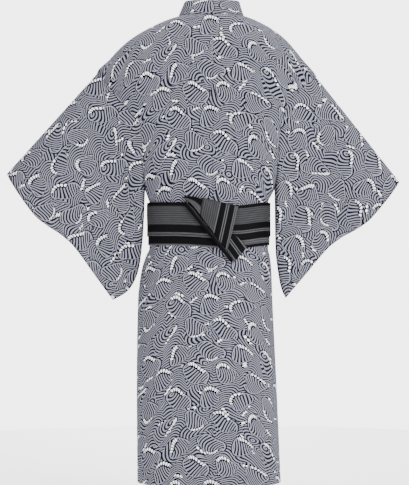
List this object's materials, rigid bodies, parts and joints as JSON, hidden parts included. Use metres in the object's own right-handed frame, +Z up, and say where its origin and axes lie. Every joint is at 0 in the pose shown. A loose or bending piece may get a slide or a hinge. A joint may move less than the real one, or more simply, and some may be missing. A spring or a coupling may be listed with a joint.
{
  "type": "cotton yukata robe",
  "caption": "Long cotton robe with wide square sleeves, a crossed front and a standing neck band, held by a woven belt tied in a flat knot behind.",
  "frame": {"origin": "between the side neck points, where the shoulders carry the robe", "axes": "+Z up; -Y the way the wearer faces, so the knot is at +Y; +X the wearer's left"},
  "size_m": [1.186, 0.2967, 1.446],
  "materials": {
    "cotton": "plain woven cotton with a dark blue wave print on off-white, matt",
    "collar_cotton": "the same printed cotton, folded and pressed, matt",
    "belt_weave": "firm ribbed weave, black band with a thin grey edge line",
    "belt_stripe": "firm ribbed weave in black and grey stripes"
  },
  "bodies": {
    "root": {"body_left": "cotton", "body_right": "cotton", "overlap_panel_left": "cotton", "overlap_panel_right": "cotton", "collar": "collar_cotton", "sleeve_left": "cotton", "sleeve_right": "cotton", "belt_under_turn": "belt_weave", "belt_outer_turn": "belt_stripe", "belt_knot_flap": "belt_stripe", "belt_knot_tail": "belt_stripe", "belt_knot_band": "belt_stripe", "belt_knot_fold": "belt_stripe"}
  },
  "joints": []
}
